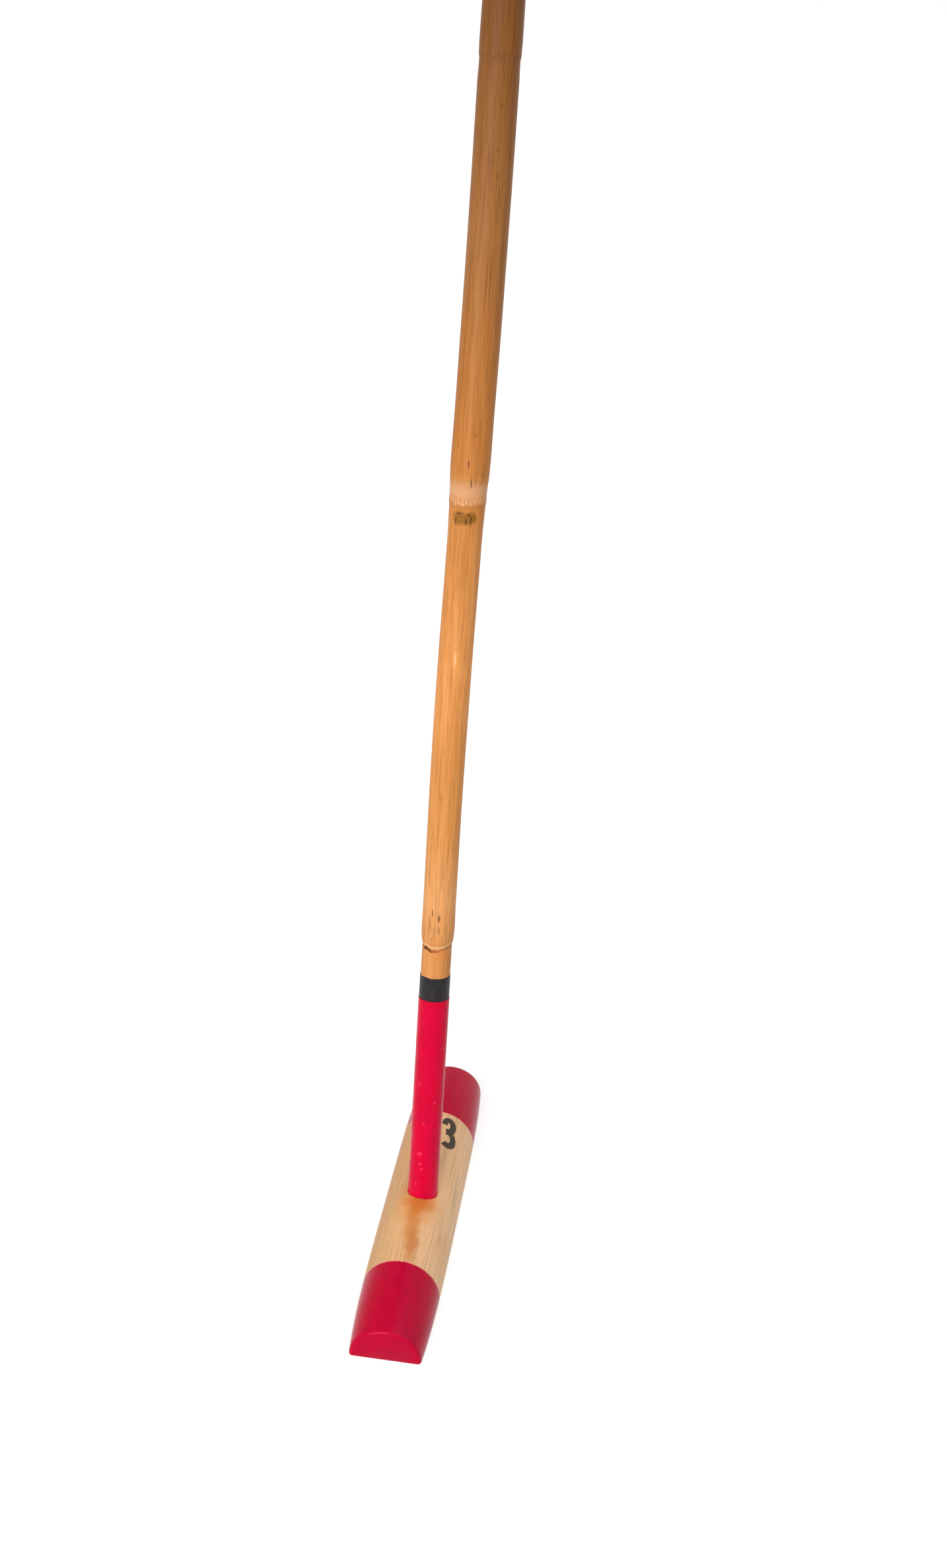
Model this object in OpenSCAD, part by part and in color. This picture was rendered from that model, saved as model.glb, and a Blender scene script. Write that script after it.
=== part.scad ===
// Polo mallet: a half-moon hardwood head with red ends on a rattan cane, and a wrapped handle
// with a webbing sling. The flat sole lies on z = 0 with its centre at the origin, the head runs
// along Y and the cane leans towards +Y. Sizes are millimetres. A place along the cane is its
// distance from the sole, measured on the cane's own centre line.

/* [Head] */
// Length of the head, the usual nine and a quarter inches
head_len = 235; // [200:1:260]
// Half of the head's width at its middle
head_half_w = 22.4; // [20:0.1:28]
// Height of the crown above the sole at the middle
head_h = 25.4; // [22:0.1:34]
// How much each side draws in at the ends
end_draw_in = 2.8; // [0:0.1:5]
// How much the crown drops at the ends
end_drop = 5.4; // [0:0.1:7]
// How late the taper comes, as a power of the distance from the middle
taper_power = 4.2; // [2:0.1:6]
// Rounding round the two end faces
end_round = 1.8; // [0.5:0.1:4]
// Chamfer along the edges of the sole
sole_ease = 0.8; // [0.2:0.1:2]

/* [Eye and wedge] */
// Glue clearance between the cane's foot and the eye bored through the head
eye_fit = 0.05; // [0.02:0.01:0.2]
// How deep the red sleeve is let into the crown
sleeve_sink = 5.5; // [4.5:0.1:8]
// Length of the wedge driven into the foot
wedge_len = 15; // [8:0.5:18]
// Thickness of the wedge at the sole
wedge_thick = 2.8; // [1.5:0.1:4]
// Thickness of the wedge at its point
wedge_point = 0.7; // [0.4:0.1:1.2]
// Clearance on each face of the wedge
wedge_fit = 0.04; // [0.02:0.01:0.15]
// Radius of the nail through the head and the foot
nail_r = 1.1; // [0.8:0.1:1.6]
// Radius of that nail's head
nail_head_r = 2; // [1.8:0.1:3]
// Length of that nail
nail_len = 31; // [26:0.5:34]
// Height of that nail above the sole
nail_z = 7; // [5:0.5:12]
// How far that nail passes beside the middle of the foot, clear of the wedge
nail_beside = 4.8; // [3.5:0.1:6]
// How far the nail's head is punched below the side of the head
nail_sunk = 0.5; // [0.2:0.1:1.5]

/* [Cane] */
// Whole length from the sole to the butt, 53 inches
mallet_len = 1346; // [1245:1:1400]
// Place of the cane's centre on the sole, across the head
foot_x = 1.8; // [-4:0.1:4]
// Place of the cane's centre on the sole, along the head
foot_y = -13.8; // [-20:0.1:5]
// Radius of the foot, up to the first node
foot_r = 8.4; // [7:0.05:9]
// Radius between the first and second nodes
second_r = 9.25; // [8:0.05:10.2]
// Radius between the second and third nodes
third_r = 10.35; // [9:0.05:11.5]
// Radius between the third and fourth nodes
fourth_r = 10.5; // [9.5:0.05:12]
// Radius above the fourth node
top_r = 10.7; // [9.5:0.05:12]
// Place of the first node, a sharp lip over a groove
first_node = 181; // [178:1:200]
// Place of the second node, a long smooth shoulder
second_node = 430; // [380:1:480]
// Place of the third node
third_node = 640; // [600:1:700]
// Place of the fourth node
fourth_node = 852; // [800:1:900]
// Swelling of the cane just above a node
node_swell = 0.25; // [0:0.05:0.6]

/* [Sleeve and band] */
// Thickness of the red sleeve on the foot
sleeve_wall = 0.41; // [0.3:0.01:1]
// Thickness of the black tape band above the sleeve
band_wall = 0.22; // [0.15:0.01:0.8]
// Where the sleeve ends and the band starts
band_start = 147.5; // [110:0.5:150]
// Width of the band
band_w = 14; // [8:0.5:20]
// Clearance under a sleeve or band
skin_fit = 0.03; // [0.01:0.01:0.1]

/* [Handle] */
// Length of the wooden handle
handle_len = 245; // [220:1:270]
// Half of the handle's width across the palm
palm_half_w = 16.5; // [15:0.1:19]
// Half of the handle's thickness
palm_half_t = 13.8; // [13.6:0.1:16]
// Squareness of the handle's oval, where 2 is a plain ellipse
oval_power = 2.8; // [2.4:0.1:3.5]
// Extra half width of the flared butt
butt_flare_w = 6.5; // [3:0.1:10]
// Extra half thickness of the flared butt
butt_flare_t = 3; // [1:0.1:6]
// Length over which the flare rises
flare_len = 38; // [30:1:40]
// Rounding of the butt's rim
butt_round = 6; // [3:0.5:9]
// Length over which the lower end tapers down to the cane
taper_len = 62; // [40:1:90]
// Thickness of the wood at its feather edge
feather = 0.5; // [0.3:0.1:1.5]
// Radius of the cane's tenon inside the handle
tenon_r = 8; // [6.5:0.1:8.5]
// Length over which the cane is shaved down to the tenon
shave_len = 34; // [15:1:50]
// How far the tenon stops short of the butt
tenon_recess = 2; // [1:0.5:10]
// Clearance on the glued faces of the handle
glue_fit = 0.05; // [0.02:0.01:0.2]
// Radius of the pins through the handle
pin_r = 1.5; // [1:0.1:2.5]
// Place of the first pin above the handle's lower end
pin_first = 52; // [45:1:60]
// How far the pins end below the wood's surface
pin_recess = 0.3; // [0.1:0.1:1]
// Spacing of the two pins
pin_spacing = 56; // [40:1:60]

/* [Grip] */
// Thickness of the cushion tape under the grip
cushion_wall = 0.9; // [0.5:0.1:2]
// Thickness of the grip tape
grip_wall = 1.7; // [1:0.1:2.5]
// Width of the grip tape
grip_tape_w = 23; // [16:0.5:30]
// Groove left between two turns of the grip tape
grip_groove = 0.6; // [0.5:0.1:1.5]
// Chamfer on the edges of the grip tape
grip_ease = 0.6; // [0.2:0.1:0.8]
// Clearance between two layers of the handle
layer_fit = 0.15; // [0.05:0.01:0.25]
// Clearance under the grip tape
grip_fit = 0.35; // [0.2:0.01:0.5]
// Bare wood and cushion left below the grip tape, under the finishing tape
grip_start = 8; // [5:0.5:12]
// Length of the finishing tape on the grip tape
collar_cover = 16; // [8:1:30]
// Length of the finishing tape on the cane
collar_tail = 10; // [5:1:20]
// Thickness of the finishing tape
collar_wall = 0.5; // [0.3:0.1:1]

/* [Sling] */
// Width of the webbing
sling_w = 16; // [12:0.5:16.5]
// Thickness of the webbing
sling_t = 1.6; // [1.2:0.1:1.8]
// Length of the sling's loop below its fold
sling_len = 215; // [160:1:235]
// Inner radius of the loop's lower bend
sling_bend_r = 23; // [18:0.5:26]
// Length of the doubled and stitched neck of the loop
neck_len = 26; // [15:1:40]
// Place of the fold above the handle's lower end
sling_at = 196; // [188:1:202]
// How far the fold stands out from the grip tape
fold_out = 2.4; // [2.2:0.1:5]
// Gap between the fixed and the swinging webbing at the fold
fold_gap = 0.3; // [0.2:0.05:0.6]
// Radius of the webbing's bend out of the handle
root_bend_r = 1.2; // [0.8:0.1:2]
// Length of webbing laid under the wrap
sling_root_len = 58; // [40:1:66]
// Clearance round the webbing where it is let into the wood
rebate_fit = 0.3; // [0.1:0.05:0.6]
// Radius of a tack's head
tack_head_r = 2.6; // [2:0.1:3.5]
// Thickness of a tack's head
tack_head_t = 0.6; // [0.4:0.05:0.7]
// Radius of a tack's shank
tack_r = 0.8; // [0.5:0.1:1.2]
// Length of a tack's shank
tack_len = 7; // [6:0.5:8]
// First tack below the webbing's bend
tack_first = 8; // [5:0.5:12]
// Spacing of the tacks along the webbing
tack_spacing = 20; // [14:1:22]

/* [Hidden] */

$fn = 64;
wood = "burlywood";
crimson = "crimson";
far = 60;
eps = 0.01;
handle_start = mallet_len - handle_len;

// The cane is nearly straight: each run is [where it starts, lean towards +Y, tilt towards +X]
runs = [[0, 11.77, -0.36], [300, 11.77, 0.8], [540, 11.8, 0.1]];
// How much thicker each run is than the one below it, so that its end covers it, and how far they overlap
bend_step = 0.05;
mitre_over = 5;
nodes_at = [first_node, second_node, third_node, fourth_node];
cane_r = [foot_r, second_r, third_r, fourth_r, top_r];
// Length of each node's shoulder, above it and below it
shoulder_up = [7, 17, 6, 8];
shoulder_down = [3, 17, 4, 5];
node_groove = [0.1, 0, 0.22, 0.15];

// Places on the cane

function run_end(i) = i + 1 < len(runs) ? runs[i + 1][0] : mallet_len;
function run_dir(i) = let(lean = runs[i][1], tilt = runs[i][2])
    [cos(lean) * sin(tilt), sin(lean), cos(lean) * cos(tilt)];
function run_start(i) = i == 0 ? [foot_x, foot_y, 0]
    : run_start(i - 1) + (runs[i][0] - runs[i - 1][0]) * run_dir(i - 1);
function run_of(s) = max([for (i = [0 : len(runs) - 1]) if (i == 0 || s >= runs[i][0]) i]);
function cane_at(s) = let(i = run_of(s)) run_start(i) + (s - runs[i][0]) * run_dir(i);

module on_cane(s) {
    run = runs[run_of(s)];
    translate(cane_at(s)) rotate([-run[1], run[2], 0]) children();
}

// Skins through rings of points

module loft(rings) {
    n = len(rings[0]);
    last = len(rings) - 1;
    walls = [for (r = [0 : last - 1], i = [0 : n - 1]) each [
        [r * n + i, r * n + (i + 1) % n, (r + 1) * n + i],
        [r * n + (i + 1) % n, (r + 1) * n + (i + 1) % n, (r + 1) * n + i]]];
    start = [for (i = [n - 1 : -1 : 0]) i];
    finish = [for (i = [0 : n - 1]) last * n + i];
    polyhedron([for (ring = rings) each ring], concat([start], walls, [finish]));
}

// Head

head_arc_steps = 24;
head_stations = 22;
flat_half = head_len / 2 - end_round;
foot_lean = runs[0][1];

function end_share(y) = pow(abs(2 * y / head_len), taper_power);
function side_at(y) = head_half_w - end_draw_in * end_share(y);
function crown_at(y) = head_h - end_drop * end_share(y);
// A flat-soled half oval at y, drawn in by inset where the end face is rounded
function head_ring(y, inset) =
    let(w = side_at(y) - inset, h = crown_at(y) - inset, low = inset * 0.4, shoulder = low + sole_ease)
    concat([[w - sole_ease, y, low]],
        [for (i = [0 : head_arc_steps]) let(a = 180 * i / head_arc_steps)
            [w * cos(a), y, shoulder + (h - shoulder) * sin(a)]],
        [[-w + sole_ease, y, low]]);
function round_rings(sign) = [for (a = [90 : -30 : 30])
    head_ring(sign * (flat_half + end_round * sin(a)), end_round * (1 - cos(a)))];
head_rings = concat(round_rings(-1),
    [for (i = [0 : head_stations]) head_ring(flat_half * (2 * i / head_stations - 1), 0)],
    [for (a = [30 : 30 : 90]) head_ring(flat_half + end_round * sin(a), end_round * (1 - cos(a)))]);

sleeve_r = foot_r + skin_fit + sleeve_wall;
sleeve_start = head_h / cos(foot_lean) - sleeve_sink;
nail_y = foot_y + nail_z * tan(foot_lean) + nail_beside;
nail_flank = side_at(nail_y) * sqrt(1 - pow((nail_z - sole_ease) / (crown_at(nail_y) - sole_ease), 2));
nail_x = -nail_flank + nail_sunk;
nail_head_t = 1;

module head() {
    color(wood) difference() {
        loft(head_rings);
        on_cane(0) translate([0, 0, -far / 2]) cylinder(h = 2 * far, r = foot_r + eye_fit);
        on_cane(sleeve_start) cylinder(h = far, r = sleeve_r + eye_fit);
        nail_shape(eye_fit, far);
    }
}

// The tapered plate of the wedge, standing across the head in the foot's own frame
module wedge_plate(grow) {
    half_sole = wedge_thick / 2 + grow;
    half_point = wedge_point / 2 + grow;
    slope = (half_sole - half_point) / wedge_len;
    rotate([90, 0, 90]) translate([0, 0, -far / 2]) linear_extrude(far)
        polygon([[-half_sole - slope * foot_r, -foot_r], [half_sole + slope * foot_r, -foot_r],
            [half_point, wedge_len + grow], [-half_point, wedge_len + grow]]);
}

module below_sole() {
    translate([-far, -far, -2 * far]) cube(2 * far);
}

module head_wedge() {
    color("peru") difference() {
        on_cane(0) intersection() {
            translate([0, 0, -foot_r]) cylinder(h = far, r = foot_r);
            wedge_plate(0);
        }
        below_sole();
    }
}

// A nail driven across the head from its left side; out lengthens its head into a clearance hole
module nail_shape(grow, out) {
    translate([nail_x, nail_y, nail_z]) rotate([0, 90, 0]) {
        cylinder(h = nail_len + grow, r = nail_r + grow);
        translate([0, 0, -out]) cylinder(h = nail_head_t + out + grow, r = nail_head_r + grow);
    }
}

module head_nail() {
    color("goldenrod") nail_shape(0, 0);
}

// Cane

// How many bends lie in the internode below node i
function bends_below(i) = len([for (j = [1 : len(runs) - 1])
    if (runs[j][0] < nodes_at[i] && (i == 0 || runs[j][0] > nodes_at[i - 1])) j]);
// A node is where the thicker internode above steps down to the one below
function node_outline(i) = let(at = nodes_at[i], up = shoulder_up[i], down = shoulder_down[i],
    above = cane_r[i + 1], below = cane_r[i] + bend_step * bends_below(i))
    [[at - down, below], [at - down / 2, below - node_groove[i]], [at, (above + below) / 2 + node_swell / 2],
        [at + up / 2, above], [at + up, above + node_swell], [at + 3 * up, above]];
// The cane's outline as [distance from the sole, radius], with the tenon that the handle is glued round
tenon_end = mallet_len - tenon_recess;
cane_outline = concat([for (i = [0 : 3]) each node_outline(i)],
    [[handle_start, top_r], [handle_start + shave_len, tenon_r]]);

// One run of the cane, turned on its own axis, with a little over for the mitre at each bend
module cane_run(i) {
    low = i == 0 ? -foot_r : runs[i][0] - mitre_over;
    high = i == len(runs) - 1 ? tenon_end : run_end(i) + mitre_over;
    outline = [for (p = cane_outline) if (p[0] > low && p[0] < high) [p[1], p[0]]];
    on_cane(runs[i][0]) translate([0, 0, -runs[i][0]]) rotate_extrude()
        polygon(concat([[0, low], [outline[0][0], low]], outline,
            [[outline[len(outline) - 1][0], high], [0, high]]));
}

// The half space past the mitre where run i starts, or before it
module half_space(i, past) {
    across = run_dir(i - 1) + run_dir(i);
    translate(run_start(i)) rotate([0, acos(across[2] / norm(across)), atan2(across[1], across[0])])
        translate([-far, -far, past ? 0 : -2 * far]) cube(2 * far);
}

module cane() {
    color("sandybrown") difference() {
        union() for (i = [0 : len(runs) - 1]) difference() {
            cane_run(i);
            if (i + 1 < len(runs)) half_space(i + 1, true);
            if (i > 0) half_space(i, false);
        }
        below_sole();
        on_cane(0) wedge_plate(wedge_fit);
        nail_shape(eye_fit, 0);
        in_handle() {
            handle_pin_shapes(pin_r + glue_fit, 1);
            tack_shapes(tack_r + glue_fit, 0);
        }
    }
}

module cane_skin(start, end, wall) {
    on_cane(start) difference() {
        cylinder(h = end - start, r = foot_r + skin_fit + wall);
        translate([0, 0, -1]) cylinder(h = end - start + 2, r = foot_r + skin_fit);
    }
}

module foot_sleeve() {
    color(crimson) cane_skin(sleeve_start, band_start - skin_fit, sleeve_wall);
}

module foot_band() {
    color("dimgray") cane_skin(band_start, band_start + band_w, band_wall);
}

// Handle, in its own frame: z runs up the handle from its lower end and x is across the palm

around = 28;
palm_end = handle_len - flare_len;
rim_start = handle_len - butt_round;
grip_end = rim_start;
stations = concat([for (z = [8 : 9 : taper_len]) z], [for (z = [taper_len + 3 : 20 : palm_end - 6]) z],
    [for (z = [palm_end : 4 : rim_start - 2]) z], [for (a = [0 : 15 : 75]) rim_start + butt_round * sin(a)]);

module in_handle() {
    on_cane(handle_start) children();
}

function ramp(t) = let(u = min(max(t, 0), 1)) u * u * (3 - 2 * u);
function sign_power(v, p) = sign(v) * pow(abs(v), p);
function oval_share(z) = ramp(z / taper_len);
function flare_share(z) = ramp((z - palm_end) / (rim_start - palm_end));
function rim_inset(z) = let(d = max(0, z - rim_start))
    butt_round - sqrt(max(0, butt_round * butt_round - d * d));
lower_r = top_r + glue_fit + feather;
function half_w(z) = lower_r + (palm_half_w - lower_r) * oval_share(z) + butt_flare_w * flare_share(z);
function half_t(z) = lower_r + (palm_half_t - lower_r) * oval_share(z) + butt_flare_t * flare_share(z);
// A point on the handle's skin before its rim is rounded, out millimetres off the wood
function skin_point(angle, z, out) = let(p = 2 / (2 + (oval_power - 2) * oval_share(z)))
    [(half_w(z) + out) * sign_power(cos(angle), p), (half_t(z) + out) * sign_power(sin(angle), p), z];
function skin_ring(z, out) = [for (i = [0 : around - 1]) skin_point(-360 * i / around, z, out)];
function clip(low, high) = concat([low], [for (z = stations) if (z > low + 1 && z < high - 0.2) z], [high]);

// The solid between two skins, each a list of [height, distance off the wood]
module skin_shell(inner, outer) {
    last = inner[len(inner) - 1];
    difference() {
        loft([for (s = outer) skin_ring(s[0], s[1])]);
        loft(concat([[for (p = skin_ring(inner[0][0], inner[0][1])) p - [0, 0, 1]]],
            [for (s = inner) skin_ring(s[0], s[1])],
            [[for (p = skin_ring(last[0], last[1])) p + [0, 0, 1]]]));
    }
}

module handle_wood() {
    difference() {
        loft([for (z = clip(0, handle_len)) skin_ring(z, -rim_inset(z))]);
        translate([0, 0, -eps]) cylinder(h = shave_len + eps, r1 = top_r + glue_fit, r2 = tenon_r + glue_fit);
        translate([0, 0, shave_len - eps]) cylinder(h = handle_len, r = tenon_r + glue_fit);
        handle_pin_shapes(pin_r + glue_fit, 1);
    }
}

module handle_front() {
    color("tan") in_handle() intersection() {
        handle_wood();
        translate([-far, -2 * far - glue_fit, -far]) cube([2 * far, 2 * far, handle_len + 2 * far]);
    }
}

module handle_back() {
    color("tan") in_handle() difference() {
        intersection() {
            handle_wood();
            translate([-far, glue_fit, -far]) cube([2 * far, 2 * far, handle_len + 2 * far]);
        }
        translate([-sling_w / 2 - rebate_fit, rebate_floor, root_low - rebate_fit])
            cube([sling_w + 2 * rebate_fit, far, sling_at + stack_half + rebate_fit - root_low + rebate_fit]);
        tack_shapes(tack_r + glue_fit, 0);
    }
}

// Pins across the two halves and the tenon; over lengthens them into through holes
module handle_pin_shapes(r, over) {
    for (z = [pin_first, pin_first + pin_spacing]) {
        half = half_t(z) - pin_recess + over;
        translate([0, -half, z]) rotate([-90, 0, 0]) cylinder(h = 2 * half, r = r);
    }
}

module handle_pins() {
    color("goldenrod") in_handle() handle_pin_shapes(pin_r, 0);
}

// Layers of the grip

cushion_start = 3;
cushion_out = layer_fit + cushion_wall;
grip_in = cushion_out + grip_fit;
grip_out = grip_in + grip_wall;

module sling_slot() {
    half_z = stack_half + rebate_fit;
    translate([-sling_w / 2 - rebate_fit, rebate_floor, sling_at - half_z])
        cube([sling_w + 2 * rebate_fit, far, 2 * half_z]);
}

module cushion_tape() {
    color("ivory") in_handle() difference() {
        skin_shell([for (z = clip(cushion_start, grip_end)) [z, layer_fit]],
            [for (z = clip(cushion_start, grip_end)) [z, cushion_out]]);
        sling_slot();
    }
}

// The grip tape is one ribbon wound up the handle, its turns a groove apart
grip_pitch = grip_tape_w + grip_groove;
grip_turns = (grip_end - grip_start) / grip_pitch + 1.5;
edge = grip_tape_w / 2;
ribbon_section = [[-edge, grip_in], [-edge / 2, grip_in], [0, grip_in], [edge / 2, grip_in],
    [edge, grip_in], [edge, grip_out - grip_ease], [edge - grip_ease, grip_out], [edge / 2, grip_out],
    [0, grip_out], [-edge / 2, grip_out], [-edge + grip_ease, grip_out], [-edge, grip_out - grip_ease]];
ribbon_rings = [for (i = [0 : ceil(grip_turns * around)])
    let(z = grip_start - edge + grip_pitch * (i / around - 0.25))
    [for (s = ribbon_section) skin_point(-360 * i / around, z + s[0], s[1])]];

module grip_tape() {
    color("dimgray") in_handle() difference() {
        loft(ribbon_rings);
        translate([-far, -far, grip_start - 2 * far]) cube(2 * far);
        translate([-far, -far, grip_end]) cube(2 * far);
        sling_slot();
    }
}

// The finishing tape runs from the cane over the wood and the cushion on to the grip tape
step_lead = 1;
collar_top = [for (z = [grip_start + 4 : 4 : grip_start + collar_cover]) [z, grip_out + layer_fit]];
collar_steps = concat([[-collar_tail, layer_fit - feather], [-step_lead, layer_fit - feather],
    [-layer_fit, layer_fit], [cushion_start - step_lead, layer_fit],
    [cushion_start - layer_fit, cushion_out + layer_fit],
    [grip_start - step_lead, cushion_out + layer_fit], [grip_start - layer_fit, grip_out + layer_fit]],
    collar_top);
collar_cone = concat([collar_steps[0], [grip_start - 1.5 * step_lead, grip_out + layer_fit]], collar_top);

module grip_collar() {
    color("dimgray") in_handle()
        skin_shell(collar_steps, [for (s = collar_cone) [s[0], s[1] + collar_wall]]);
}

// Sling: two layers of webbing lie in the rebate, turn out through the grip and fold down

ply_gap = 0.1;
stack_half = sling_t + ply_gap / 2;
rebate_floor = palm_half_t - layer_fit - 2 * stack_half - tack_head_t - 2 * layer_fit;
stack_top = rebate_floor + layer_fit + 2 * stack_half;
bend_y = stack_top + root_bend_r;
bend_z = sling_at - root_bend_r - stack_half;
root_low = bend_z - sling_root_len;
fold_y = half_t(sling_at) + grip_out + fold_out;
fold_at = cane_at(handle_start) + run_turn(len(runs) - 1, [0, fold_y, sling_at]);

// A vector of the handle's frame turned into the part's frame
function run_turn(i, v) = let(lean = runs[i][1], tilt = runs[i][2],
    y = v[1] * cos(lean) + v[2] * sin(lean), z = v[2] * cos(lean) - v[1] * sin(lean))
    [v[0] * cos(tilt) + z * sin(tilt), y, z * cos(tilt) - v[0] * sin(tilt)];

// One layer's side view, r being the inner radius of its bend
module root_ply(r) {
    translate([bend_y - r - sling_t, root_low]) square([sling_t, sling_root_len + eps]);
    translate([bend_y - eps, bend_z + r]) square([fold_y - stack_half - fold_gap - bend_y + eps, sling_t]);
    translate([bend_y, bend_z]) intersection() {
        difference() {
            circle(r = r + sling_t);
            circle(r = r);
        }
        translate([-2 * bend_y, 0]) square(2 * bend_y);
    }
}

module across_webbing() {
    rotate([90, 0, 90]) linear_extrude(sling_w, center = true) children();
}

module sling_root() {
    color("whitesmoke") in_handle() difference() {
        across_webbing() {
            root_ply(root_bend_r);
            root_ply(root_bend_r + sling_t + ply_gap);
        }
        tack_shapes(tack_r + glue_fit, 0);
    }
}

// Tacks through both layers and the wood into the tenon
module tack_shapes(r, head_t) {
    for (i = [0 : 2]) translate([0, stack_top + layer_fit / 2, bend_z - tack_first - i * tack_spacing])
        rotate([90, 0, 0]) {
            cylinder(h = tack_len, r = r);
            if (head_t > 0) translate([0, 0, -head_t]) cylinder(h = head_t + eps, r = tack_head_r);
        }
}

module sling_tacks() {
    color("silver") in_handle() tack_shapes(tack_r, tack_head_t);
}

// The loop hangs straight down from the fold
bend_centre = -(sling_len - sling_bend_r - sling_t);
bend_steps = 28;
root_steps = 8;
// The bend's arc of radius r, between the two lines that touch it from [side, top] and [-side, top]
function bend_arc(side, top, r) = let(v = [side, top - bend_centre], b = atan2(v[1], v[0]) - acos(r / norm(v)))
    [for (i = [0 : bend_steps]) let(a = b - (180 + 2 * b) * i / bend_steps)
        [r * cos(a), bend_centre + r * sin(a)]];
loop_outside = concat([for (i = [0 : root_steps]) let(a = 180 - 180 * i / root_steps)
    stack_half * [cos(a), sin(a)]],
    [[stack_half, -neck_len]], bend_arc(stack_half, -neck_len, sling_bend_r + sling_t),
    [[-stack_half, -neck_len]]);
crotch = -neck_len - sling_t;
loop_inside = concat([[ply_gap / 2, crotch]], bend_arc(ply_gap / 2, crotch, sling_bend_r),
    [[-ply_gap / 2, crotch]]);

module sling_loop() {
    color("whitesmoke") translate(fold_at) across_webbing() difference() {
        polygon(loop_outside);
        polygon(loop_inside);
    }
}

head();
head_wedge();
head_nail();
cane();
foot_sleeve();
foot_band();
handle_front();
handle_back();
handle_pins();
cushion_tape();
grip_tape();
grip_collar();
sling_root();
sling_tacks();
sling_loop();
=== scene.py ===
import bpy
import bmesh
from math import acos, atan2, ceil, copysign, cos, exp, pi, radians, sin, sqrt
from mathutils import Euler, Matrix, Vector, noise


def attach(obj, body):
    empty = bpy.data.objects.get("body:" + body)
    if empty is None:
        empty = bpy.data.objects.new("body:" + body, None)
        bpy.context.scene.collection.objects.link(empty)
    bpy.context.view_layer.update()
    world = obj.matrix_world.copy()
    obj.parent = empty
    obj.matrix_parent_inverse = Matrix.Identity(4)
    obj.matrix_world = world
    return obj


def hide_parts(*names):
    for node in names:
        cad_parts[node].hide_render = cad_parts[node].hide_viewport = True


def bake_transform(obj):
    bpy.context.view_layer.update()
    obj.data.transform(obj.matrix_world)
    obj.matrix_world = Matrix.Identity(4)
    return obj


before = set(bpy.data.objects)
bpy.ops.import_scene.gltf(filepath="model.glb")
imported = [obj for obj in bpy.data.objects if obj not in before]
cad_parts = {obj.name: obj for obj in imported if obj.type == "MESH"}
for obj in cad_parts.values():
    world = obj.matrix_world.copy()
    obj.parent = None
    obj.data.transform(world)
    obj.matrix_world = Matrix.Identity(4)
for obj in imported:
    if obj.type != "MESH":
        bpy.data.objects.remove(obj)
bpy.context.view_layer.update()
mm = 0.001
print("frame loaded:", len(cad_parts), "nodes")


# Helpers for meshes; all lengths are in millimetres until a mesh is made

def ease(t):
    t = min(max(t, 0.0), 1.0)
    return t * t * (3 - 2 * t)


def steps(low, high, step):  # even places from low to high, about step apart
    count = max(1, ceil(abs(high - low) / step))
    return [low + (high - low) * i / count for i in range(count + 1)]


def between(table, x):  # a value eased between the pairs of a table
    for (x0, y0), (x1, y1) in zip(table, table[1:]):
        if x < x1:
            return y0 + (y1 - y0) * ease((x - x0) / (x1 - x0))
    return table[-1][1]


def lengthsAlong(points):  # how far along a line each of its points lies
    lengths = [0.0]
    for a, b in zip(points, points[1:]):
        lengths.append(lengths[-1] + (Vector(b) - Vector(a)).length)
    return lengths


def wrapGrid(sides, along, place, looped=False):
    # A flat grid bent into a skin: place() gives each point from its turn, 0 to 1, and its row
    bm = bmesh.new()
    uvLayer = bm.loops.layers.uv.new("UVMap")
    rows = len(along) - 1
    bmesh.ops.create_grid(bm, x_segments=sides, y_segments=rows, size=1.0, calc_uvs=True)
    for face in bm.faces:
        for loop in face.loops:
            x, y = loop.vert.co.xy
            loop[uvLayer].uv = ((x + 1) / 2, along[round((y + 1) / 2 * rows)] * mm)
    for vert in bm.verts:
        turn = round((vert.co.x + 1) / 2 * sides) / sides
        vert.co = Vector(place(turn, round((vert.co.y + 1) / 2 * rows))) * mm
    bmesh.ops.remove_doubles(bm, verts=bm.verts, dist=0.001 * mm)
    if not looped:
        bmesh.ops.holes_fill(bm, edges=[e for e in bm.edges if e.is_boundary], sides=0)
    bmesh.ops.recalc_face_normals(bm, faces=bm.faces)
    return bm


def wrapShell(sides, outside, inside, point):  # a tube wall between two lists of (place, radius or distance)
    walls = outside + inside[::-1]
    return wrapGrid(sides, [wall[0] for wall in walls + walls[:1]],
                    lambda turn, k: point(turn * 2 * pi, *walls[k % len(walls)]), looped=True)


def sliceOff(bm, point, normal):  # cuts off what lies past a plane and closes the cut
    geometry = bm.verts[:] + bm.edges[:] + bm.faces[:]
    bmesh.ops.bisect_plane(bm, geom=geometry, plane_co=Vector(point) * mm, plane_no=normal, clear_outer=True)
    bmesh.ops.holes_fill(bm, edges=[e for e in bm.edges if e.is_boundary], sides=0)
    bmesh.ops.recalc_face_normals(bm, faces=bm.faces)


def blockAt(low, high, turned=None):  # a block between two corners
    bm = bmesh.new()
    size = Vector(high) - Vector(low)
    bmesh.ops.create_cube(bm, size=1.0)
    bmesh.ops.scale(bm, vec=size, verts=bm.verts)
    bmesh.ops.translate(bm, vec=Vector(low) + size / 2, verts=bm.verts)
    bmesh.ops.transform(bm, matrix=Matrix.Scale(mm, 4) @ (turned or Matrix()), verts=bm.verts)
    return bm


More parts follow.
